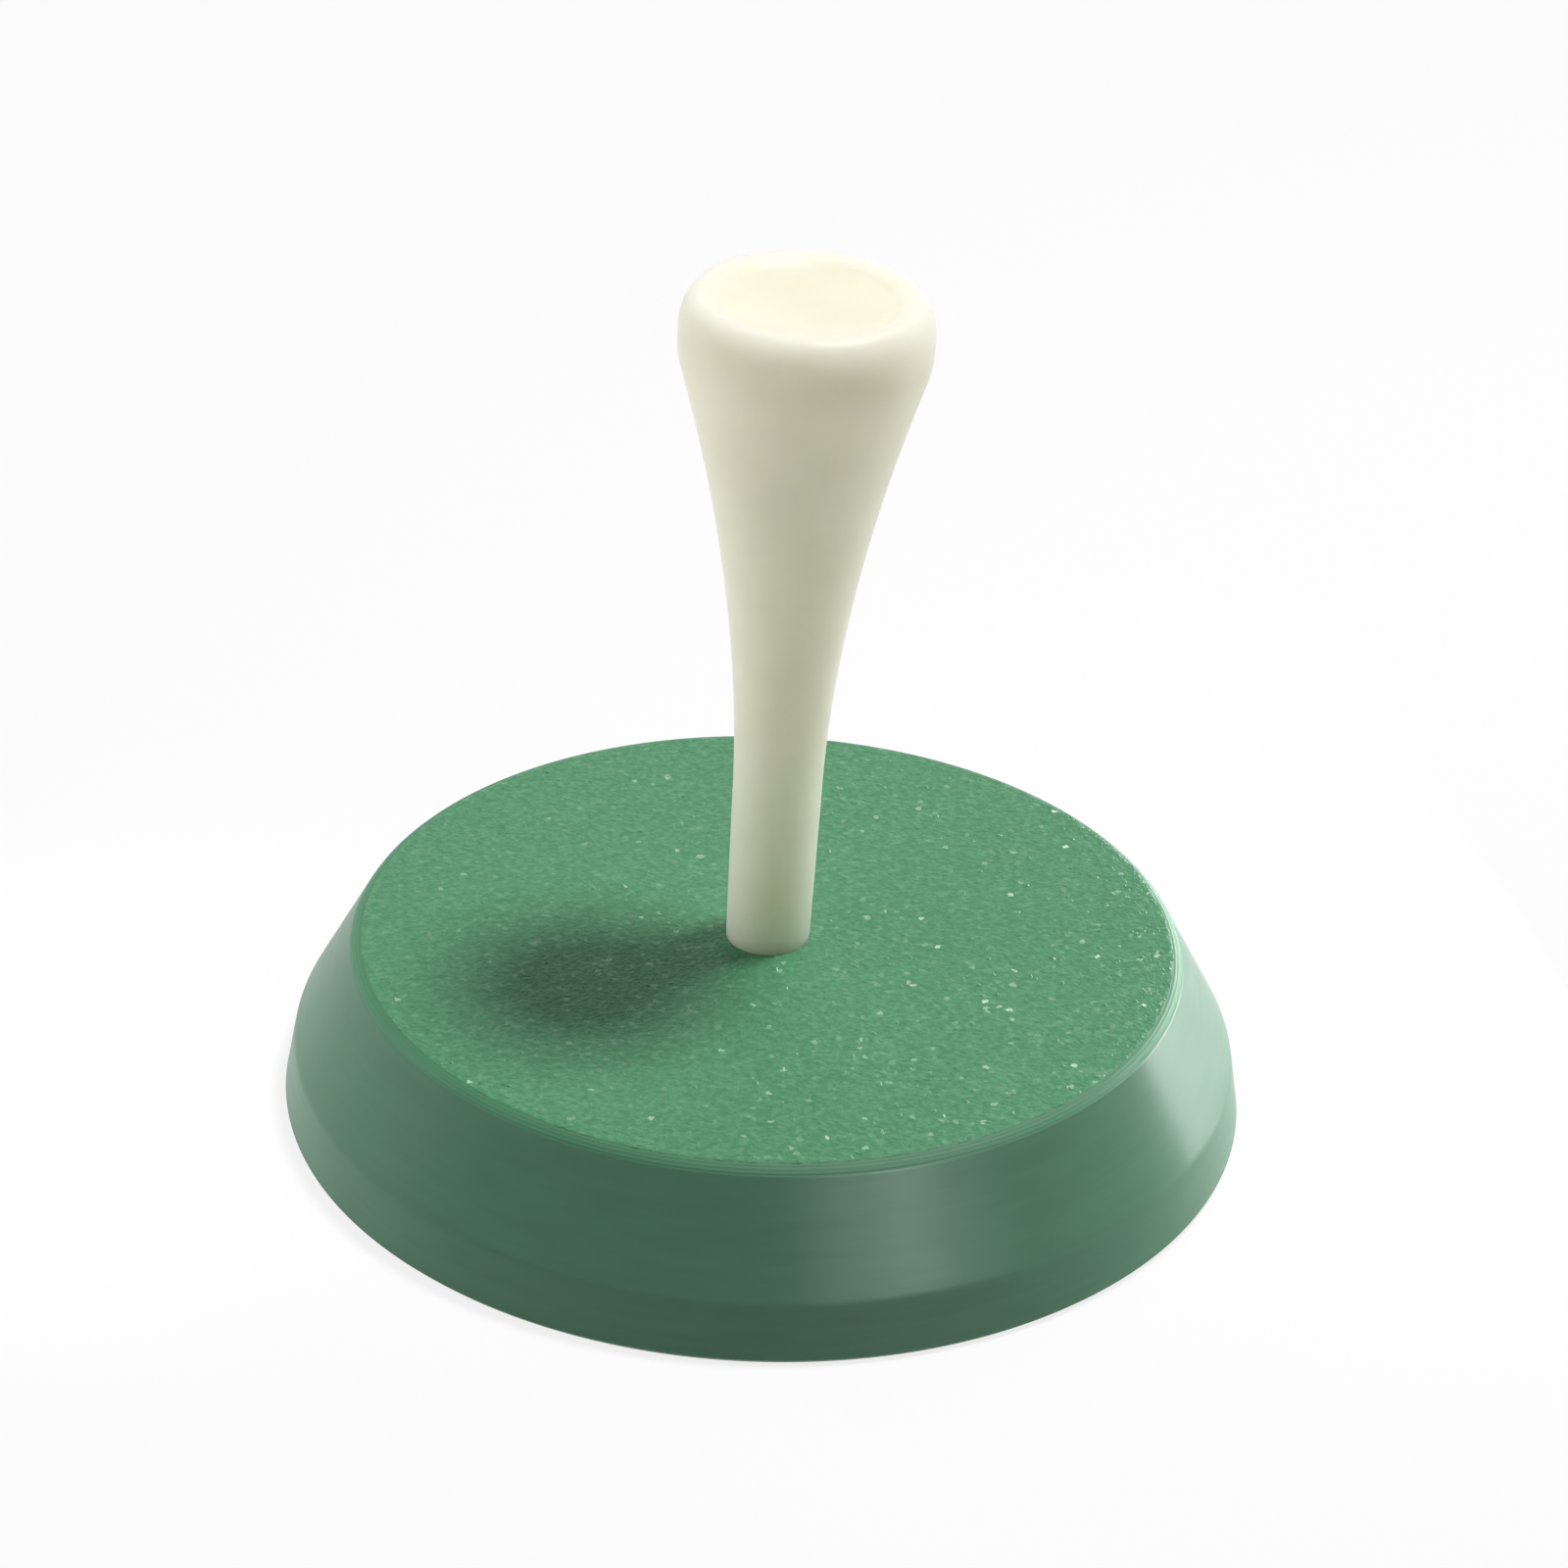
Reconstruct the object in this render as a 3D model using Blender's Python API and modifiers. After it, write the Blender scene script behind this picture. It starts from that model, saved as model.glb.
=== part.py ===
"""A golf tee that stands in a round bevelled base, both printed in plastic.

Metres, +Z up. The origin is the centre of the base's underside and +Z is the common axis.
The foot of the tee sits in a blind round socket in the base and lifts straight out of it.
"""

import math

import bpy
from mathutils import Vector

# Base: a flat top, a bevelled side and a low band that widens to the foot
BASE_DIAMETER = 0.0500
BASE_BAND_TOP_DIAMETER = 0.0490
BASE_TOP_DIAMETER = 0.0426
BASE_HEIGHT = 0.0091
BASE_BAND_HEIGHT = 0.0032
BASE_TOP_EDGE_RADIUS = 0.0009
BASE_SIDE_EDGE_RADIUS = 0.0003
BASE_UNDERSIDE_CHAMFER = 0.0003

# Socket in the base and the foot of the tee that fills it
STEM_FOOT_DIAMETER = 0.00433
FIT_CLEARANCE = 0.00015
SEAT_GAP = 0.0003
SOCKET_DEPTH = 0.0060
SOCKET_LEAD_IN = 0.0002
FOOT_END_CHAMFER = 0.0004

# Tee above the base
TEE_STANDING_HEIGHT = 0.0360
STEM_LENGTH = 0.0084
STEM_TOP_DIAMETER = 0.00455
FLARE_POWER = 1.91
LIP_HEIGHT = 0.0032
LIP_FOOT_RADIUS = 0.0030
RIM_DIAMETER = 0.0125
RIM_EDGE_RADIUS = 0.00095
RIM_CREST_DIAMETER = 0.0105
RIM_FLANK_RADIUS = 0.0013
CUP_DIAMETER = 0.0087
CUP_DEPTH = 0.0010

# Facets of the round forms
BASE_SEGMENTS = 96
TEE_SEGMENTS = 64
FLARE_STEPS = 16
CUP_STEPS = 8
CORNER_STEPS = 4
SHARP_ANGLE = math.radians(30)
MERGE_DISTANCE = 0.00001

# Plastic colours, linear
BASE_GREEN = (0.127, 0.314, 0.181, 1.0)
TEE_IVORY = (0.840, 0.807, 0.645, 1.0)
BASE_ROUGHNESS = 0.45
TEE_ROUGHNESS = 0.40

SOCKET_FLOOR = BASE_HEIGHT - SOCKET_DEPTH
TEE_SEAT = SOCKET_FLOOR + SEAT_GAP
TEE_LENGTH = BASE_HEIGHT + TEE_STANDING_HEIGHT - TEE_SEAT


def clear_scene():
    """Remove every object of the open scene."""
    for scene_object in list(bpy.data.objects):
        bpy.data.objects.remove(scene_object, do_unlink=True)


def parts_collection():
    """Make the collection that holds the object's parts."""
    collection = bpy.data.collections.new("golf_tee_stand")
    bpy.context.scene.collection.children.link(collection)
    return collection


def plastic(name, colour, roughness):
    """Make a plain plastic material."""
    material = bpy.data.materials.new(name)
    material.use_nodes = True
    shader = material.node_tree.nodes["Principled BSDF"]
    shader.inputs["Base Color"].default_value = colour
    shader.inputs["Roughness"].default_value = roughness
    shader.inputs["Metallic"].default_value = 0.0
    return material


def rounded_corner(before, corner, after, radius):
    """Points of the arc that rounds the corner of a profile between its two neighbours."""
    to_before = (Vector(before) - Vector(corner)).normalized()
    to_after = (Vector(after) - Vector(corner)).normalized()
    half_angle = to_before.angle(to_after) / 2
    towards_centre = (to_before + to_after).normalized()
    centre = Vector(corner) + towards_centre * radius / math.sin(half_angle)
    reach = radius / math.tan(half_angle)
    start = (Vector(corner) + to_before * reach - centre).normalized()
    end = (Vector(corner) + to_after * reach - centre).normalized()
    return [centre + radius * start.slerp(end, step / CORNER_STEPS) for step in range(CORNER_STEPS + 1)]


def base_profile():
    """Half section of the base, from the socket's floor over the top and down the side to the underside."""
    socket_radius = STEM_FOOT_DIAMETER / 2 + FIT_CLEARANCE
    foot_radius = BASE_DIAMETER / 2
    socket_mouth = (socket_radius + SOCKET_LEAD_IN, BASE_HEIGHT)
    top_edge = (BASE_TOP_DIAMETER / 2, BASE_HEIGHT)
    side_edge = (BASE_BAND_TOP_DIAMETER / 2, BASE_BAND_HEIGHT)
    band_foot = (foot_radius, BASE_UNDERSIDE_CHAMFER)
    socket = [
        (0, SOCKET_FLOOR),
        (socket_radius, SOCKET_FLOOR),
        (socket_radius, BASE_HEIGHT - SOCKET_LEAD_IN),
        socket_mouth,
    ]
    side = rounded_corner(socket_mouth, top_edge, side_edge, BASE_TOP_EDGE_RADIUS)
    side += rounded_corner(top_edge, side_edge, band_foot, BASE_SIDE_EDGE_RADIUS)
    underside = [band_foot, (foot_radius - BASE_UNDERSIDE_CHAMFER, 0), (0, 0)]
    return socket + side + underside


def flank_profile(rim_height):
    """Half section of the rim's round inner flank, from the edge of the cup up to the rim's crest."""
    crest_radius = RIM_CREST_DIAMETER / 2
    steepest = math.asin((crest_radius - CUP_DIAMETER / 2) / RIM_FLANK_RADIUS)
    points = []
    for step in range(CORNER_STEPS + 1):
        angle = steepest * (1 - step / CORNER_STEPS)
        drop = RIM_FLANK_RADIUS * (1 - math.cos(angle))
        points.append((crest_radius - RIM_FLANK_RADIUS * math.sin(angle), rim_height - drop))
    return points


def cup_profile(floor_height, edge):
    """Half section of the tee's cup, a shallow spherical dish, from its middle to just inside its edge."""
    edge_radius, edge_height = edge
    depth = edge_height - floor_height
    dish_radius = (edge_radius ** 2 + depth ** 2) / (2 * depth)
    edge_angle = math.asin(edge_radius / dish_radius)
    points = []
    for step in range(CUP_STEPS):
        angle = edge_angle * step / CUP_STEPS
        rise = dish_radius * (1 - math.cos(angle))
        points.append((dish_radius * math.sin(angle), floor_height + rise))
    return points


def flare_profile(stem_top, lip_foot):
    """Half section of the flare, from the lip down to the top of the stem."""
    stem_radius = STEM_TOP_DIAMETER / 2
    rim_radius = RIM_DIAMETER / 2
    points = []
    for step in range(FLARE_STEPS + 1):
        share = 1 - step / FLARE_STEPS
        radius = stem_radius + (rim_radius - stem_radius) * share ** FLARE_POWER
        points.append((radius, stem_top + (lip_foot - stem_top) * share))
    return points


def tee_profile():
    """Half section of the tee, from the middle of the cup over the rim and down to the end of the foot."""
    foot_radius = STEM_FOOT_DIAMETER / 2
    base_top = BASE_HEIGHT - TEE_SEAT
    flank = flank_profile(TEE_LENGTH)
    cup = cup_profile(TEE_LENGTH - CUP_DEPTH, flank[0])
    rim_edge = (RIM_DIAMETER / 2, TEE_LENGTH)
    lip_foot = (RIM_DIAMETER / 2, TEE_LENGTH - LIP_HEIGHT)
    flare = flare_profile(base_top + STEM_LENGTH, lip_foot[1])
    rim = flank + rounded_corner(flank[-1], rim_edge, lip_foot, RIM_EDGE_RADIUS)
    rim += rounded_corner(rim_edge, lip_foot, flare[1], LIP_FOOT_RADIUS)
    foot = [
        (foot_radius, base_top),
        (foot_radius, FOOT_END_CHAMFER),
        (foot_radius - FOOT_END_CHAMFER, 0),
        (0, 0),
    ]
    return cup + rim + flare[1:] + foot


def turned_part(name, profile, segments, material, collection):
    """Turn a half section round the Z axis into a closed part."""
    points = [(point[0], 0, point[1]) for point in profile]
    edges = [(index, index + 1) for index in range(len(points) - 1)]
    mesh = bpy.data.meshes.new(name)
    mesh.from_pydata(points, edges, [])
    mesh.materials.append(material)
    part = bpy.data.objects.new(name, mesh)
    collection.objects.link(part)
    turn = part.modifiers.new("Turn", "SCREW")
    turn.axis = "Z"
    turn.angle = 2 * math.pi
    turn.steps = segments
    turn.render_steps = segments
    turn.use_merge_vertices = True
    turn.merge_threshold = MERGE_DISTANCE
    turn.use_smooth_shade = True
    return part


def shade_round(part):
    """Turn the section into the part's own mesh, smooth on its round faces and sharp at its edges."""
    evaluated = part.evaluated_get(bpy.context.evaluated_depsgraph_get())
    turned = bpy.data.meshes.new_from_object(evaluated)
    section = part.data
    part.modifiers.clear()
    part.data = turned
    bpy.data.meshes.remove(section)
    turned.name = part.name
    turned.shade_smooth()
    turned.set_sharp_from_angle(angle=SHARP_ANGLE)


def build():
    """Build the base and the tee that stands in it."""
    clear_scene()
    collection = parts_collection()
    green = plastic("green_plastic", BASE_GREEN, BASE_ROUGHNESS)
    ivory = plastic("ivory_plastic", TEE_IVORY, TEE_ROUGHNESS)
    base = turned_part("base", base_profile(), BASE_SEGMENTS, green, collection)
    tee = turned_part("tee", tee_profile(), TEE_SEGMENTS, ivory, collection)
    tee.location = (0, 0, TEE_SEAT)
    bpy.context.view_layer.update()
    shade_round(base)
    shade_round(tee)


build()
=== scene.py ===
"""Looks of a golf tee that stands in a round bevelled base, both printed in plastic.

The base was printed top face down: its top carries the grain of the build plate and a few
outline rings near its edge, and its side shows fine layers. The tee is smooth satin ivory.
"""

import math
import random

import bpy
from mathutils import Matrix, Quaternion, Vector


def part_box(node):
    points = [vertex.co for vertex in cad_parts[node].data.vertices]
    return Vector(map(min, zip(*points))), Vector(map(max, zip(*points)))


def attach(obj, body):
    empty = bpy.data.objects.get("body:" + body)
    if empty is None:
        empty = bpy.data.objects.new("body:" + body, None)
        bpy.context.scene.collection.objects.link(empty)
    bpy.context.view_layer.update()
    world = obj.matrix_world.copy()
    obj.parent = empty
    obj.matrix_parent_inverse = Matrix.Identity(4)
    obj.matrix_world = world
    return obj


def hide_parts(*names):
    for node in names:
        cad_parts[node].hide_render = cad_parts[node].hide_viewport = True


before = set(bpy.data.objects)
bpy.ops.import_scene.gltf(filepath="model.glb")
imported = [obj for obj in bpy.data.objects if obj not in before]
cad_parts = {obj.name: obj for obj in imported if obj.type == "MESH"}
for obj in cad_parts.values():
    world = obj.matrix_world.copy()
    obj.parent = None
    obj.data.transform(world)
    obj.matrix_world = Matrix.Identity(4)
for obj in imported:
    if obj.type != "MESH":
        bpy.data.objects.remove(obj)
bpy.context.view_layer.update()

MM = 0.001

# Sizes taken from the frame
BASE_LOW, BASE_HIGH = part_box("base")
TEE_LOW, TEE_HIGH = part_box("tee")
BASE_RADIUS = (BASE_HIGH[0] - BASE_LOW[0]) / 2
BASE_TOP = BASE_HIGH[2]
RIM_RADIUS = (TEE_HIGH[0] - TEE_LOW[0]) / 2
RIM_TOP = TEE_HIGH[2]
FOOT_END = TEE_LOW[2]

# Base
TOP_CORNER_RADIUS = 21.3 * MM
TOP_EDGE_RADIUS = 0.9 * MM
BAND_TOP_RADIUS = 24.5 * MM
BAND_HEIGHT = 3.2 * MM
UNDERSIDE_CHAMFER = 0.3 * MM
SIDE_CORNER_SOFTNESS = 0.12 * MM
SOCKET_CLEARANCE = 0.15 * MM
SEAT_GAP = 0.3 * MM
SOCKET_FLOOR = FOOT_END - SEAT_GAP
MOUTH_CLEARANCE = 0.02 * MM
MOUTH_DEPTH = 0.4 * MM
SIDE_SLOPE = (BAND_TOP_RADIUS - TOP_CORNER_RADIUS) / (BASE_TOP - BAND_HEIGHT)
BAND_SLOPE = (BASE_RADIUS - BAND_TOP_RADIUS) / (BAND_HEIGHT - UNDERSIDE_CHAMFER)
EDGE_TURN = math.pi / 2 - math.atan(SIDE_SLOPE)
FLAT_RADIUS = TOP_CORNER_RADIUS - TOP_EDGE_RADIUS * math.tan(EDGE_TURN / 2)

# Print layers and plate grain
GRAIN_SEED = 7
LAYER_HEIGHT = 0.2 * MM
LAYER_GROOVE = 0.005 * MM
LAYER_WANDER = 0.005 * MM
EDGE_GROOVE = 0.02 * MM
TOP_CELL = 0.17 * MM
GRAIN_HEIGHT = 0.012 * MM
GRAIN_JITTER = 0.05 * MM
GRIT_SHARE = 0.012
GRIT_HEIGHTS = (0.03 * MM, 0.07 * MM)
OUTLINE_PITCH = 0.4 * MM
OUTLINE_COUNT = 3
OUTLINE_DEPTH = 0.012 * MM
OUTLINE_CELL = OUTLINE_PITCH / 4
GRAINY_EDGE_TURN = math.radians(14)
GRAINY_EDGE_STEPS = 2
EDGE_STEPS = 18
SIDE_SEGMENTS = 240
SOCKET_SEGMENTS = 72

# Tee
STEM_FOOT_RADIUS = 2.165 * MM
MOUTH_RADIUS = STEM_FOOT_RADIUS + MOUTH_CLEARANCE
STEM_TOP_RADIUS = 2.275 * MM
STEM_LENGTH = 8.4 * MM
FLARE_POWER = 1.91
LIP_HEIGHT = 3.2 * MM
LIP_FOOT_SOFTNESS = 0.12 * MM
RIM_CREST_RADIUS = 5.25 * MM
RIM_EDGE_WIDTH = RIM_RADIUS - RIM_CREST_RADIUS
RIM_EDGE_DROP = 1.9 * MM
RIM_FLANK_RADIUS = 1.3 * MM
CUP_RADIUS = 4.35 * MM
CUP_DEPTH = 1.0 * MM
FLANK_TURN = math.asin((RIM_CREST_RADIUS - CUP_RADIUS) / RIM_FLANK_RADIUS)
CUP_EDGE_DEPTH = RIM_FLANK_RADIUS * (1 - math.cos(FLANK_TURN))
FOOT_CHAMFER = 0.4 * MM
TEE_LAYER_GROOVE = 0.0015 * MM
TEE_SEGMENTS = 96
CUP_STEPS = 22
RIM_STEPS = 8
TEE_LEAN = math.radians(1.28)

# Camera, fitted to the photograph
CAMERA_DISTANCE = 247.1 * MM
CAMERA_ELEVATION = math.radians(33.27)
CAMERA_ROLL = math.radians(2.32)
CAMERA_TARGET = Vector((0.53 * MM, 0, 18.03 * MM))
FOCAL_PIXELS = 4766
IMAGE_PIXELS = 1600
SENSOR_WIDTH = 36

# Colours, linear
TOP_GREEN = (0.090, 0.276, 0.143, 1.0)
TOP_GREEN_DARK = (0.074, 0.240, 0.122, 1.0)
TOP_GREEN_PALE = (0.114, 0.322, 0.173, 1.0)
# The side's greens are darker copies of the top's plastic green: they paint shade onto the side.
SIDE_GREEN_SHADED = (0.057, 0.163, 0.093, 1.0)
SIDE_GREEN_SHADED_DARK = (0.051, 0.149, 0.084, 1.0)
# The edge's greens sit between the top's and the side's: shaded copies of the same plastic, painting shade
# onto the turned-down edge.
EDGE_GREEN_SHADED = (0.064, 0.205, 0.107, 1.0)
EDGE_GREEN_SHADED_DARK = (0.056, 0.182, 0.095, 1.0)
IVORY = (0.860, 0.835, 0.680, 1.0)
IVORY_PALE = (0.890, 0.865, 0.715, 1.0)
FLOOR_GREY = (0.9, 0.9, 0.9, 1.0)
WHITE = (1.0, 1.0, 1.0, 1.0)

# Surface of the base's top
TOP_MOTTLE_SIZE = 0.4 * MM
TOP_MOTTLE_STOPS = (0.34, 0.5, 0.66)
TOP_GLOSS_SIZE = 0.8 * MM
TOP_ROUGHNESS = (0.28, 0.36)
TOP_BUMP_SIZE = 0.2 * MM
TOP_BUMP_DEPTH = 0.04 * MM
TOP_SPECULAR = 0.10
FLAKE_SIZE = 0.26 * MM
FLAKE_LEAN = 0.5
FLAKE_RARITY = 9
FLAKE_COAT = 0.55
FLAKE_ROUGHNESS = 0.3

# Surface of the base's side and of its layered top edge
STREAK_SIZE = 0.5 * MM
STREAK_STRETCH = 8
STREAK_STOPS = (0.3, 0.7)
STREAK_ROUGHNESS = 0.05
SIDE_ROUGHNESS = 0.32
SIDE_SPECULAR = 0.34
SIDE_ANISOTROPY = 0.8
EDGE_ROUGHNESS = 0.52
EDGE_SPECULAR = 0.30
EDGE_ANISOTROPY = 0.0
ANISOTROPY_TURN = 0.25
SIDE_BUMP_SIZE = 0.8 * MM
SIDE_BUMP_DEPTH = 0.004 * MM

# Surface of the tee
IVORY_MOTTLE_SIZE = 3.0 * MM
IVORY_MOTTLE_STOPS = (0.3, 0.7)
IVORY_GLOSS_SIZE = 0.9 * MM
IVORY_ROUGHNESS = (0.40, 0.48)
IVORY_BUMP_SIZE = 0.4 * MM
IVORY_BUMP_DEPTH = 0.004 * MM
IVORY_BUMP_STRENGTH = 0.5
IVORY_SPECULAR = 0.35
GLOW_RADIUS = (1.0, 0.97, 0.88)
GLOW_SCALE = 4.2 * MM

# Floor, world and lamps
FLOOR_SIZE = 0.9
FLOOR_DROP = 0.02 * MM
FLOOR_WHITE_SHARE = 0.82
AMBIENT_STRENGTH = 0.065
STUDIO_DISTANCE = 0.6
LOW_DISTANCE = 46 * MM
LOW_WIDTH = 30 * MM
LOW_HEIGHT = 10 * MM

SHARP_ANGLE = math.radians(35)

# Material indices of a piece's faces
SMOOTH = 0
LAYERED = 1
GRAINY = 2


# Rings of points, stitched into turned surfaces

def add_ring(points, radius, height, count, grain=None):
    """Add a ring of points round the Z axis, shaken by the grain's draws if given; return the indices."""
    first = len(points)
    for index in range(count):
        angle = 2 * math.pi * index / count
        reach = radius
        level = height
        if grain:
            angle += grain.uniform(-1, 1) * GRAIN_JITTER / radius
            reach += grain.uniform(-1, 1) * GRAIN_JITTER
            level += grain.uniform(-1, 1) * GRAIN_HEIGHT
            if grain.random() < GRIT_SHARE:
                level += grain.uniform(*GRIT_HEIGHTS)
        points.append((reach * math.cos(angle), reach * math.sin(angle), level))
    return list(range(first, first + count))


def stitch(faces, ring_a, ring_b):
    """Join two neighbouring rings, with quads where their counts match and triangles where they differ."""
    count_a = len(ring_a)
    count_b = len(ring_b)
    if count_a == count_b:
        for index in range(count_a):
            after = (index + 1) % count_a
            faces.append((ring_a[index], ring_b[index], ring_b[after], ring_a[after]))
        return
    step_a = 0
    step_b = 0
    while step_a < count_a or step_b < count_b:
        here_a = ring_a[step_a % count_a]
        here_b = ring_b[step_b % count_b]
        if (step_a + 1) * count_b <= (step_b + 1) * count_a:
            step_a += 1
            faces.append((here_a, here_b, ring_a[step_a % count_a]))
        else:
            step_b += 1
            faces.append((here_a, here_b, ring_b[step_b % count_b]))


def close_start(points, faces, ring, height):
    """Close the first ring with a fan to a point on the axis."""
    centre = len(points)
    points.append((0, 0, height))
    for index, corner in enumerate(ring):
        faces.append((centre, corner, ring[(index + 1) % len(ring)]))


def close_end(points, faces, ring, height):
    """Close the last ring with a fan to a point on the axis."""
    centre = len(points)
    points.append((0, 0, height))
    for index, corner in enumerate(ring):
        faces.append((corner, centre, ring[(index + 1) % len(ring)]))


def make_piece(name, points, faces, materials, face_materials):
    """Make a piece from points and faces, with one material index per face; grainy faces stay flat."""
    mesh = bpy.data.meshes.new(name)
    mesh.from_pydata(points, [], faces)
    for material in materials:
        mesh.materials.append(material)
    mesh.polygons.foreach_set("material_index", face_materials)
    mesh.shade_smooth()
    mesh.set_sharp_from_angle(angle=SHARP_ANGLE)
    mesh.polygons.foreach_set("use_smooth", [index != GRAINY for index in face_materials])
    piece = bpy.data.objects.new(name, mesh)
    bpy.context.scene.collection.objects.link(piece)
    return piece


# Base

def grainy_count(radius):
    """Points on a ring of the grainy top."""
    return round(2 * math.pi * radius / TOP_CELL)


def socket_rings(points):
    """Rings of the socket, from its floor to its mouth, which the squashed first layers make tighter."""
    radius = STEM_FOOT_RADIUS + SOCKET_CLEARANCE
    heights = [SOCKET_FLOOR, BASE_TOP - 2 * MOUTH_DEPTH]
    rings = [add_ring(points, radius, height, SOCKET_SEGMENTS) for height in heights]
    rings.append(add_ring(points, MOUTH_RADIUS, BASE_TOP - MOUTH_DEPTH, SOCKET_SEGMENTS))
    return rings


def outline_drop(radius):
    """Depth of the outline rings that the first layer leaves near the edge."""
    from_edge = (FLAT_RADIUS - radius) / OUTLINE_PITCH
    fade = max(0.0, 1 - from_edge / OUTLINE_COUNT)
    return OUTLINE_DEPTH * fade * (0.5 - 0.5 * math.cos(2 * math.pi * from_edge))


def top_rings(points, grain):
    """Rings of the grainy top, closer together where the outline rings are."""
    outline_start = FLAT_RADIUS - OUTLINE_COUNT * OUTLINE_PITCH
    radius = MOUTH_RADIUS
    rings = [add_ring(points, radius, BASE_TOP, grainy_count(radius))]
    while radius < FLAT_RADIUS - TOP_CELL:
        radius += TOP_CELL if radius < outline_start else OUTLINE_CELL
        height = BASE_TOP - outline_drop(radius)
        rings.append(add_ring(points, radius, height, grainy_count(radius), grain))
    return rings


def edge_point(turn, groove):
    """Radius and height on the rounded top edge, turned down from the flat top."""
    reach = TOP_EDGE_RADIUS - groove
    centre_height = BASE_TOP - TOP_EDGE_RADIUS
    return FLAT_RADIUS + reach * math.sin(turn), centre_height + reach * math.cos(turn)


def grainy_edge_rings(points, grain):
    """Rings of the first stretch of the top edge, which still carries the plate's grain."""
    rings = []
    for step in range(GRAINY_EDGE_STEPS + 1):
        radius, height = edge_point(GRAINY_EDGE_TURN * step / GRAINY_EDGE_STEPS, 0)
        rings.append(add_ring(points, radius, height, grainy_count(radius), grain))
    return rings


def layered_edge_rings(points):
    """Rings of the rest of the top edge, where the layers show as fine steps."""
    rings = []
    for step in range(1, EDGE_STEPS + 1):
        turn = GRAINY_EDGE_TURN + (EDGE_TURN - GRAINY_EDGE_TURN) * step / EDGE_STEPS
        layer = TOP_EDGE_RADIUS * turn / LAYER_HEIGHT
        groove = EDGE_GROOVE * (0.5 - 0.5 * math.cos(2 * math.pi * layer))
        radius, height = edge_point(turn, groove)
        rings.append(add_ring(points, radius, height, SIDE_SEGMENTS))
    return rings


def side_radius(height):
    """Radius of the base's side: a slope that turns softly into a steeper band."""
    above = height - BAND_HEIGHT
    soft = math.hypot(above, SIDE_CORNER_SOFTNESS)
    return BAND_TOP_RADIUS - SIDE_SLOPE * (soft + above) / 2 + BAND_SLOPE * (soft - above) / 2


def side_rings(points, wander):
    """Rings of the base's layered side, from below the top edge to the underside."""
    rings = []
    height = edge_point(EDGE_TURN, 0)[1] - LAYER_HEIGHT / 2
    while height > UNDERSIDE_CHAMFER + LAYER_HEIGHT / 2:
        radius = side_radius(height) - wander.random() * LAYER_WANDER
        rings.append(add_ring(points, radius, height, SIDE_SEGMENTS))
        seam = height - LAYER_HEIGHT / 2
        rings.append(add_ring(points, side_radius(seam) - LAYER_GROOVE, seam, SIDE_SEGMENTS))
        height -= LAYER_HEIGHT
    rings.append(add_ring(points, BASE_RADIUS, UNDERSIDE_CHAMFER, SIDE_SEGMENTS))
    rings.append(add_ring(points, BASE_RADIUS - UNDERSIDE_CHAMFER, 0, SIDE_SEGMENTS))
    return rings


def build_base(side_material, edge_material, top_material):
    """Build the printed base with its socket, grainy top, layered edge and layered side."""
    draws = random.Random(GRAIN_SEED)
    points = []
    faces = []
    face_materials = []
    socket = socket_rings(points)
    grainy = top_rings(points, draws) + grainy_edge_rings(points, draws)
    edge = layered_edge_rings(points)
    side = side_rings(points, draws)
    close_start(points, faces, socket[0], SOCKET_FLOOR)
    start = socket[0]
    for group, material in ((socket[1:], SMOOTH), (grainy, GRAINY), (edge, LAYERED), (side, SMOOTH)):
        for ring in group:
            stitch(faces, start, ring)
            start = ring
        face_materials += [material] * (len(faces) - len(face_materials))
    close_end(points, faces, side[-1], 0)
    face_materials += [SMOOTH] * (len(faces) - len(face_materials))
    materials = [side_material, edge_material, top_material]
    return make_piece("printed_base", points, faces, materials, face_materials)


# Tee

def cup_profile():
    """Half section of the cup, a shallow spherical dish, from near its middle to its edge."""
    depth = CUP_DEPTH - CUP_EDGE_DEPTH
    dish_radius = (CUP_RADIUS ** 2 + depth ** 2) / (2 * depth)
    dish_centre = RIM_TOP - CUP_DEPTH + dish_radius
    profile = []
    for step in range(1, CUP_STEPS + 1):
        radius = CUP_RADIUS * step / CUP_STEPS
        profile.append((radius, dish_centre - math.sqrt(dish_radius ** 2 - radius ** 2)))
    return profile


def rim_profile():
    """Half section of the rim, which rises round from the cup to its crest and turns round into the lip."""
    profile = []
    for step in range(1, RIM_STEPS + 1):
        turn = FLANK_TURN * (1 - step / RIM_STEPS)
        drop = RIM_FLANK_RADIUS * (1 - math.cos(turn))
        profile.append((RIM_CREST_RADIUS - RIM_FLANK_RADIUS * math.sin(turn), RIM_TOP - drop))
    for step in range(1, RIM_STEPS + 1):
        turn = math.pi / 2 * step / RIM_STEPS
        drop = RIM_EDGE_DROP * (1 - math.cos(turn))
        profile.append((RIM_CREST_RADIUS + RIM_EDGE_WIDTH * math.sin(turn), RIM_TOP - drop))
    return profile


def tee_radius(height):
    """Outer radius of the tee below its rim edge: lip, flare, stem and foot."""
    stem_top = BASE_TOP + STEM_LENGTH
    lip_foot = RIM_TOP - LIP_HEIGHT
    if height >= stem_top:
        share = (height - stem_top) / (lip_foot - stem_top)
        flare = STEM_TOP_RADIUS + (RIM_RADIUS - STEM_TOP_RADIUS) * share ** FLARE_POWER
        return (flare + RIM_RADIUS - math.hypot(flare - RIM_RADIUS, LIP_FOOT_SOFTNESS)) / 2
    share = max(0.0, (height - BASE_TOP) / STEM_LENGTH)
    return STEM_FOOT_RADIUS + (STEM_TOP_RADIUS - STEM_FOOT_RADIUS) * share


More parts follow.
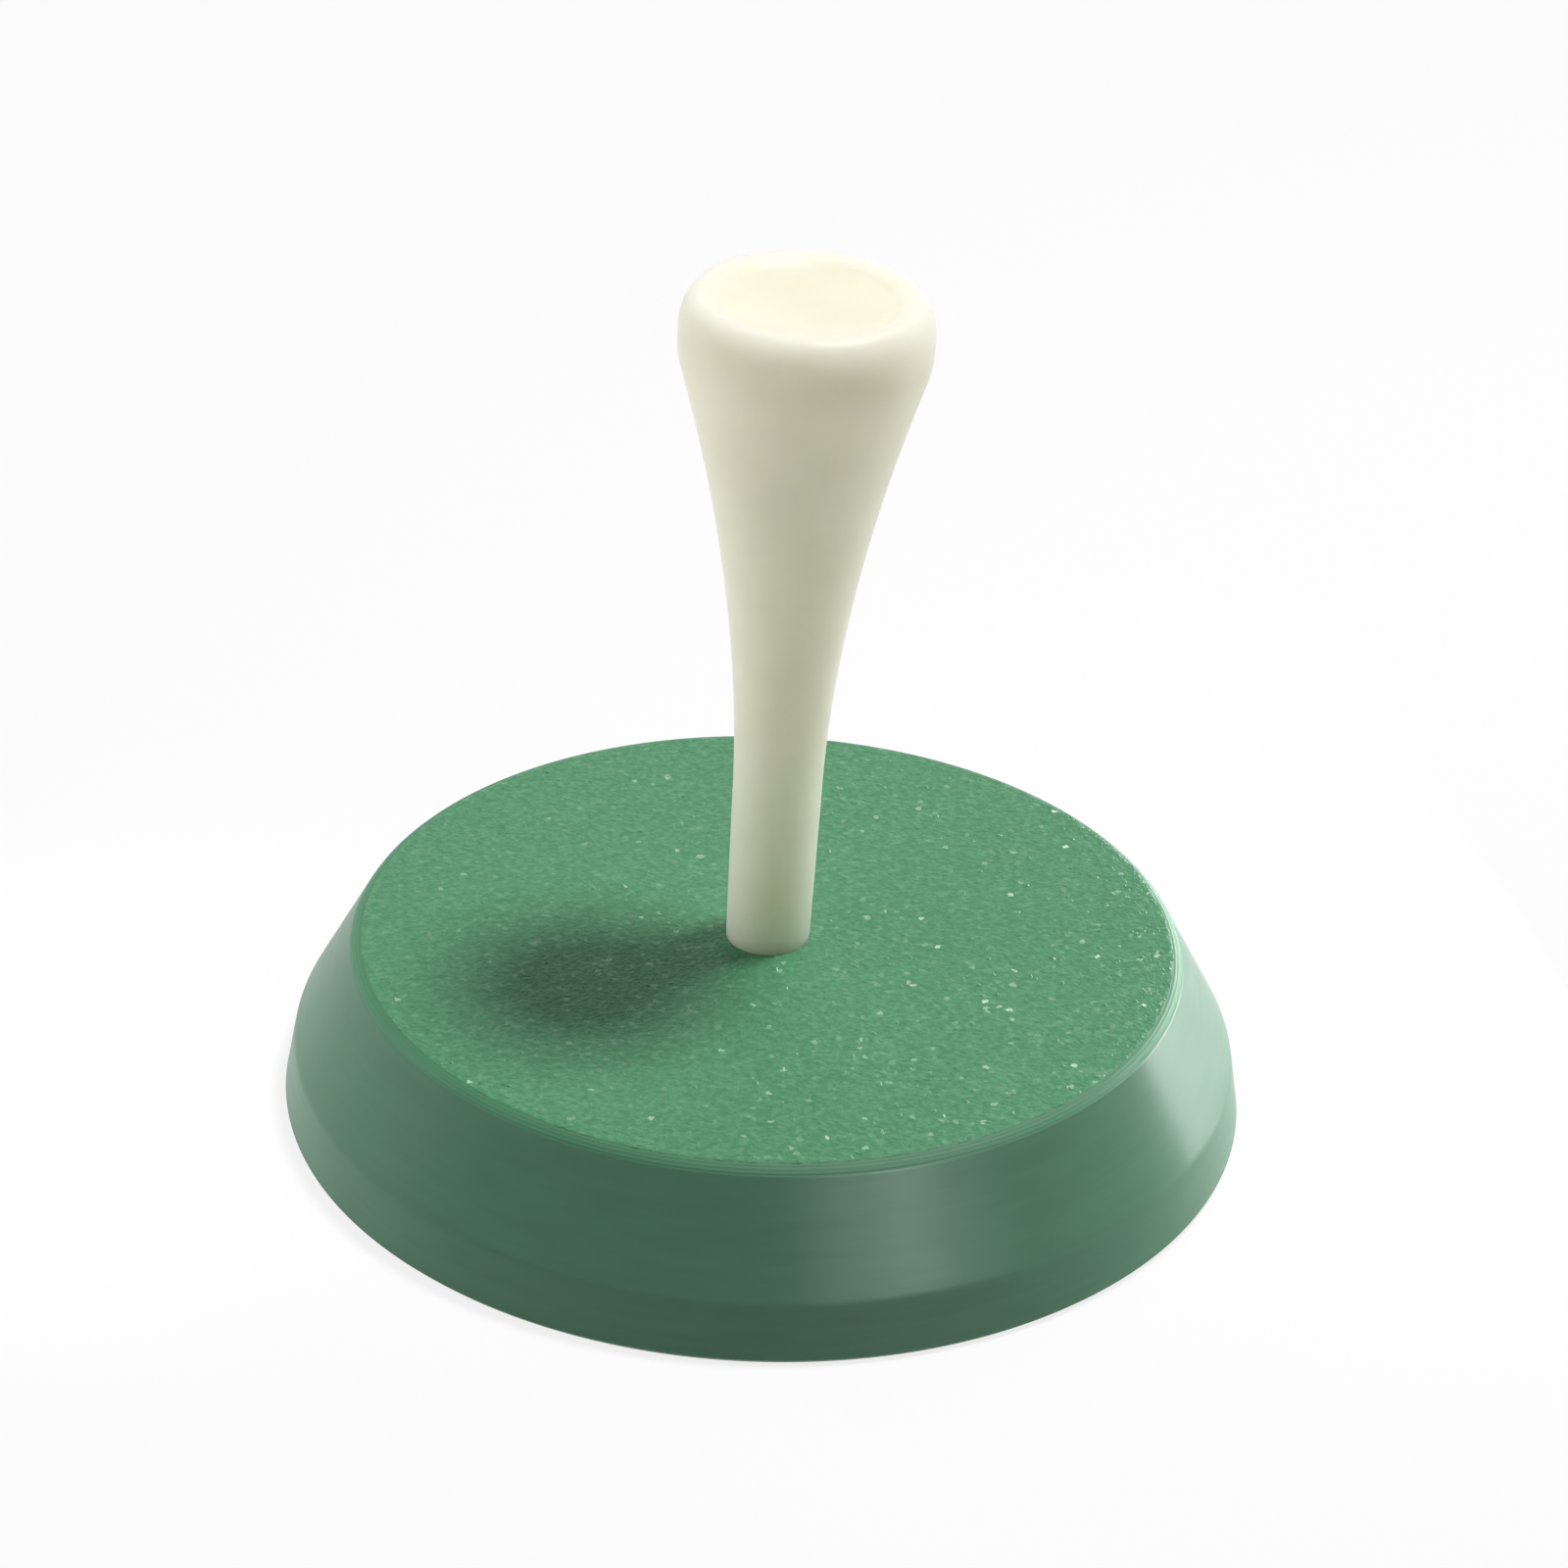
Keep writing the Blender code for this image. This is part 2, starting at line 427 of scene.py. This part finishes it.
def wall_profile():
    """Half section of the tee's outer wall with its fine layers, from the lip to the end of the foot."""
    profile = []
    height = RIM_TOP - RIM_EDGE_DROP - LAYER_HEIGHT / 2
    step = 1
    while height > FOOT_END + FOOT_CHAMFER:
        groove = TEE_LAYER_GROOVE if step % 2 else 0.0
        profile.append((tee_radius(height) - groove, height))
        height -= LAYER_HEIGHT / 2
        step += 1
    profile.append((STEM_FOOT_RADIUS, FOOT_END + FOOT_CHAMFER))
    profile.append((STEM_FOOT_RADIUS - FOOT_CHAMFER, FOOT_END))
    return profile


def leaned(points):
    """Lean the tee's points about the mouth of the socket, as its loose fit below lets it."""
    pivot = Vector((0, 0, BASE_TOP))
    lean = Matrix.Rotation(TEE_LEAN, 3, "Y")
    return [pivot + lean @ (Vector(point) - pivot) for point in points]


def build_tee(material):
    """Build the ivory tee."""
    points = []
    faces = []
    profile = cup_profile() + rim_profile() + wall_profile()
    rings = [add_ring(points, radius, height, TEE_SEGMENTS) for radius, height in profile]
    close_start(points, faces, rings[0], RIM_TOP - CUP_DEPTH)
    for ring_a, ring_b in zip(rings, rings[1:]):
        stitch(faces, ring_a, ring_b)
    close_end(points, faces, rings[-1], FOOT_END)
    return make_piece("ivory_tee", leaned(points), faces, [material], [SMOOTH] * len(faces))


# Materials

class Nodes:
    """Short helpers for building one material's node tree."""

    def __init__(self, name):
        self.material = bpy.data.materials.new(name)
        self.material.use_nodes = True
        self.tree = self.material.node_tree
        self.shader = self.tree.nodes["Principled BSDF"]
        self.place = self.tree.nodes.new("ShaderNodeTexCoord").outputs["Object"]

    def add(self, kind, **settings):
        """Add a node of a kind, with its settings."""
        node = self.tree.nodes.new(kind)
        for key, value in settings.items():
            setattr(node, key, value)
        return node

    def link(self, output, node_input):
        """Link an output to an input."""
        self.tree.links.new(output, node_input)

    def fix(self, name, value):
        """Set one of the shader's values."""
        self.shader.inputs[name].default_value = value

    def drive(self, name, output):
        """Link an output to one of the shader's values."""
        self.link(output, self.shader.inputs[name])

    def noise(self, size, detail=2.0, roughness=0.5, stretch=1.0):
        """Noise whose features are about the given size high, and longer sideways by the stretch."""
        drawn_out = self.add("ShaderNodeMapping")
        drawn_out.inputs["Scale"].default_value = (1 / stretch, 1 / stretch, 1)
        self.link(self.place, drawn_out.inputs["Vector"])
        node = self.add("ShaderNodeTexNoise")
        node.inputs["Scale"].default_value = 1 / size
        node.inputs["Detail"].default_value = detail
        node.inputs["Roughness"].default_value = roughness
        self.link(drawn_out.outputs["Vector"], node.inputs["Vector"])
        return node.outputs["Fac"]

    def colours(self, factor, stops, colours):
        """Colour ramp with one colour at each stop."""
        node = self.add("ShaderNodeValToRGB")
        ramp = node.color_ramp
        while len(ramp.elements) < len(stops):
            ramp.elements.new(0.5)
        for element, stop, colour in zip(ramp.elements, stops, colours):
            element.position = stop
            element.color = colour
        self.link(factor, node.inputs["Fac"])
        return node.outputs["Color"]

    def bump(self, height, depth, strength=1.0):
        """Normal of a surface that rises with the height, by the depth at most."""
        node = self.add("ShaderNodeBump")
        node.inputs["Strength"].default_value = strength
        node.inputs["Distance"].default_value = depth
        self.link(height, node.inputs["Height"])
        return node.outputs["Normal"]

    def between(self, value, low, high):
        """Map 0 to 1 onto low to high."""
        node = self.add("ShaderNodeMapRange")
        node.inputs["To Min"].default_value = low
        node.inputs["To Max"].default_value = high
        self.link(value, node.inputs["Value"])
        return node.outputs["Result"]

    def flakes(self, size):
        """Colour that differs at random from one flake of about the given size to the next."""
        node = self.add("ShaderNodeTexVoronoi")
        node.inputs["Scale"].default_value = 1 / size
        self.link(self.place, node.inputs["Vector"])
        return node.outputs["Color"]

    def leaning(self, draw, spread):
        """Normal that leans from straight up by a random draw."""
        lean = self.add("ShaderNodeVectorMath", operation="MULTIPLY_ADD")
        lean.inputs[1].default_value = (2 * spread, 2 * spread, 0)
        lean.inputs[2].default_value = (-spread, -spread, 1)
        self.link(draw, lean.inputs[0])
        unit = self.add("ShaderNodeVectorMath", operation="NORMALIZE")
        self.link(lean.outputs["Vector"], unit.inputs[0])
        return unit.outputs["Vector"]

    def rare(self, draw, rarity, most):
        """Share that is mostly near 0, and up to the most given where the draw's blue is high."""
        blue = self.add("ShaderNodeSeparateColor")
        self.link(draw, blue.inputs["Color"])
        power = self.add("ShaderNodeMath", operation="POWER")
        power.inputs[1].default_value = rarity
        self.link(blue.outputs["Blue"], power.inputs[0])
        return self.between(power.outputs["Value"], 0, most)


def green_top_material():
    """Matte green plastic with the grain of a textured build plate, on which small flakes glint."""
    nodes = Nodes("green_plate_grain")
    greens = (TOP_GREEN_DARK, TOP_GREEN, TOP_GREEN_PALE)
    mottle = nodes.noise(TOP_MOTTLE_SIZE, detail=3.0, roughness=0.65)
    nodes.drive("Base Color", nodes.colours(mottle, TOP_MOTTLE_STOPS, greens))
    nodes.drive("Roughness", nodes.between(nodes.noise(TOP_GLOSS_SIZE), *TOP_ROUGHNESS))
    nodes.drive("Normal", nodes.bump(nodes.noise(TOP_BUMP_SIZE, detail=1.0), TOP_BUMP_DEPTH))
    flakes = nodes.flakes(FLAKE_SIZE)
    nodes.drive("Coat Normal", nodes.leaning(flakes, FLAKE_LEAN))
    nodes.drive("Coat Weight", nodes.rare(flakes, FLAKE_RARITY, FLAKE_COAT))
    nodes.fix("Coat Roughness", FLAKE_ROUGHNESS)
    nodes.fix("Specular IOR Level", TOP_SPECULAR)
    return nodes.material


def layered_green(name, greens, roughness, specular, anisotropy):
    """Plastic between two greens; the anisotropy draws reflections out across its layers."""
    nodes = Nodes(name)
    mottle = nodes.noise(STREAK_SIZE, detail=2.0, stretch=STREAK_STRETCH)
    nodes.drive("Base Color", nodes.colours(mottle, STREAK_STOPS, greens))
    streaks = nodes.noise(STREAK_SIZE, detail=1.0, stretch=STREAK_STRETCH)
    least = roughness - STREAK_ROUGHNESS
    most = roughness + STREAK_ROUGHNESS
    nodes.drive("Roughness", nodes.between(streaks, least, most))
    nodes.drive("Normal", nodes.bump(nodes.noise(SIDE_BUMP_SIZE), SIDE_BUMP_DEPTH))
    nodes.fix("Specular IOR Level", specular)
    nodes.fix("Anisotropic", anisotropy)
    nodes.fix("Anisotropic Rotation", ANISOTROPY_TURN)
    round_axis = nodes.add("ShaderNodeTangent", direction_type="RADIAL", axis="Z")
    nodes.drive("Tangent", round_axis.outputs["Tangent"])
    return nodes.material


def green_side_material():
    """Glossy green of the base's side, darker than the top's green as painted shade."""
    greens = (SIDE_GREEN_SHADED_DARK, SIDE_GREEN_SHADED)
    return layered_green("green_glossy_side", greens, SIDE_ROUGHNESS, SIDE_SPECULAR, SIDE_ANISOTROPY)


def green_edge_material():
    """Duller green of the base's rounded top edge, darker than the top's green as painted shade."""
    greens = (EDGE_GREEN_SHADED_DARK, EDGE_GREEN_SHADED)
    return layered_green("green_layered_edge", greens, EDGE_ROUGHNESS, EDGE_SPECULAR, EDGE_ANISOTROPY)


def ivory_material():
    """Satin ivory plastic that glows softly where light enters it."""
    nodes = Nodes("satin_ivory")
    mottle = nodes.noise(IVORY_MOTTLE_SIZE, detail=3.0)
    nodes.drive("Base Color", nodes.colours(mottle, IVORY_MOTTLE_STOPS, (IVORY, IVORY_PALE)))
    nodes.drive("Roughness", nodes.between(nodes.noise(IVORY_GLOSS_SIZE), *IVORY_ROUGHNESS))
    ripple = nodes.noise(IVORY_BUMP_SIZE, detail=3.0)
    nodes.drive("Normal", nodes.bump(ripple, IVORY_BUMP_DEPTH, IVORY_BUMP_STRENGTH))
    nodes.fix("Specular IOR Level", IVORY_SPECULAR)
    nodes.fix("Subsurface Weight", 1.0)
    nodes.fix("Subsurface Radius", GLOW_RADIUS)
    nodes.fix("Subsurface Scale", GLOW_SCALE)
    return nodes.material


# Stage, light and camera

def white_to_viewer(tree, white_share):
    """Share of plain white for camera, glossy and transmission rays; rays that carry light get none."""
    path = tree.nodes.new("ShaderNodeLightPath")
    seen = path.outputs["Is Camera Ray"]
    for name in ("Is Glossy Ray", "Is Transmission Ray"):
        either = tree.nodes.new("ShaderNodeMath")
        either.operation = "MAXIMUM"
        tree.links.new(seen, either.inputs[0])
        tree.links.new(path.outputs[name], either.inputs[1])
        seen = either.outputs[0]
    share = tree.nodes.new("ShaderNodeMath")
    share.operation = "MULTIPLY"
    share.inputs[1].default_value = white_share
    tree.links.new(seen, share.inputs[0])
    return share.outputs[0]


def mix_in_white(tree, lit, white, output, white_share):
    """Send a mix of a lit shader and a plain white one to the tree's output."""
    mix = tree.nodes.new("ShaderNodeMixShader")
    tree.links.new(white_to_viewer(tree, white_share), mix.inputs["Fac"])
    tree.links.new(lit.outputs[0], mix.inputs[1])
    tree.links.new(white.outputs[0], mix.inputs[2])
    tree.links.new(mix.outputs[0], output.inputs["Surface"])


def add_floor():
    """Pale floor that keeps a faint shadow of the object."""
    half = FLOOR_SIZE / 2
    signs = [(-1, -1), (1, -1), (1, 1), (-1, 1)]
    mesh = bpy.data.meshes.new("floor")
    mesh.from_pydata([(x * half, y * half, -FLOOR_DROP) for x, y in signs], [], [(0, 1, 2, 3)])
    floor = bpy.data.objects.new("floor", mesh)
    bpy.context.scene.collection.objects.link(floor)
    material = bpy.data.materials.new("pale_floor")
    material.use_nodes = True
    tree = material.node_tree
    lit = tree.nodes["Principled BSDF"]
    lit.inputs["Base Color"].default_value = FLOOR_GREY
    lit.inputs["Roughness"].default_value = 1.0
    lit.inputs["Specular IOR Level"].default_value = 0.0
    white = tree.nodes.new("ShaderNodeEmission")
    mix_in_white(tree, lit, white, tree.nodes["Material Output"], FLOOR_WHITE_SHARE)
    mesh.materials.append(material)


def add_world():
    """Dim even light from all round, and a white background."""
    world = bpy.data.worlds.new("studio")
    world.use_nodes = True
    bpy.context.scene.world = world
    tree = world.node_tree
    ambient = tree.nodes["Background"]
    ambient.inputs["Color"].default_value = WHITE
    ambient.inputs["Strength"].default_value = AMBIENT_STRENGTH
    white = tree.nodes.new("ShaderNodeBackground")
    white.inputs["Color"].default_value = WHITE
    mix_in_white(tree, ambient, white, tree.nodes["World Output"], 1.0)


def add_lamp(name, direction, distance, power, width, height):
    """Area lamp that looks at the middle of the base's top from the given direction."""
    data = bpy.data.lights.new(name, "AREA")
    data.energy = power
    data.shape = "RECTANGLE"
    data.size = width
    data.size_y = height
    lamp = bpy.data.objects.new(name, data)
    bpy.context.scene.collection.objects.link(lamp)
    aim = Vector(direction).normalized()
    lamp.location = Vector((0, 0, BASE_TOP)) + aim * distance
    lamp.rotation_euler = (-aim).to_track_quat("-Z", "Y").to_euler()
    lamp.visible_camera = False
    return lamp


def add_fill(name, direction, power, width, height):
    """Large lamp that lights the object and does not show in its gloss."""
    fill = add_lamp(name, direction, STUDIO_DISTANCE, power, width, height)
    fill.visible_glossy = False


def add_low_fill(name, direction, power):
    """Small lamp close to the base's side that does not show in its gloss."""
    fill = add_lamp(name, direction, LOW_DISTANCE, power, LOW_WIDTH, LOW_HEIGHT)
    fill.visible_glossy = False
    return fill


def add_card(receivers, name, direction, distance, power, width, height):
    """Lamp that shows in the gloss of the receiving pieces and does not light them otherwise."""
    card = add_lamp(name, direction, distance, power, width, height)
    card.visible_diffuse = False
    card.light_linking.receiver_collection = receivers


def add_key():
    """Round lamp above right, which casts the tee's shadow on the base."""
    key = add_lamp("key", (0.263, 0.146, 0.954), distance=0.5, power=1.97, width=0.10, height=0.10)
    key.data.shape = "DISK"


def add_fills(base_only):
    """Soft fills from the left, the right and the front."""
    add_fill("left_high_fill", (-0.62, -0.24, 0.75), power=0.55, width=0.40, height=0.40)
    add_fill("left_fill", (-0.95, 0.20, 0.13), power=1.36, width=0.50, height=0.30)
    add_low_fill("left_low_fill", (-0.99, -0.11, -0.02), power=0.0026)
    add_fill("right_fill", (0.826, 0.553, 0.10), power=0.90, width=0.40, height=0.25)
    add_low_fill("right_low_fill", (0.98, 0.20, -0.02), power=0.0048)
    right_front = add_low_fill("right_front_low_fill", (0.93, -0.36, -0.02), power=0.0026)
    right_front.light_linking.receiver_collection = base_only
    add_fill("front_fill", (0.20, -0.95, 0.15), power=0.06, width=0.50, height=0.30)


def add_cards(base_only):
    """Cards that show in the base's glossy side, two at the front right and one at the back right."""
    front = (0.490, -0.611, 0.622)
    bright = (0.491, -0.610, 0.622)
    right = (0.180, 0.174, 0.030)
    far = STUDIO_DISTANCE
    add_card(base_only, "front_card", front, distance=far, power=1.85, width=0.45, height=0.30)
    add_card(base_only, "bright_front_card", bright, distance=far, power=0.85, width=0.13, height=0.30)
    add_card(base_only, "right_card", right, distance=0.25, power=1.00, width=0.22, height=0.10)


def add_lights(base):
    """Light the object, with some lamps that reach the base alone."""
    base_only = bpy.data.collections.new("base_only")
    base_only.objects.link(base)
    add_key()
    add_fills(base_only)
    add_cards(base_only)


def add_camera():
    """Camera at the photograph's viewing angle."""
    data = bpy.data.cameras.new("camera")
    data.sensor_width = SENSOR_WIDTH
    data.lens = FOCAL_PIXELS / IMAGE_PIXELS * SENSOR_WIDTH
    data.clip_start = 1 * MM
    camera = bpy.data.objects.new("camera", data)
    bpy.context.scene.collection.objects.link(camera)
    level = CAMERA_DISTANCE * math.cos(CAMERA_ELEVATION)
    camera.location = (0, -level, CAMERA_DISTANCE * math.sin(CAMERA_ELEVATION))
    aim = (CAMERA_TARGET - camera.location).to_track_quat("-Z", "Y")
    camera.rotation_euler = (aim @ Quaternion((0, 0, 1), CAMERA_ROLL)).to_euler()
    bpy.context.scene.camera = camera


def main():
    """Dress the frame, light it and set the camera."""
    base = build_base(green_side_material(), green_edge_material(), green_top_material())
    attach(base, "base")
    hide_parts("base")
    tee = build_tee(ivory_material())
    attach(tee, "tee")
    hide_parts("tee")
    add_floor()
    add_world()
    add_lights(base)
    add_camera()
    bpy.context.scene.view_settings.view_transform = "Standard"


main()
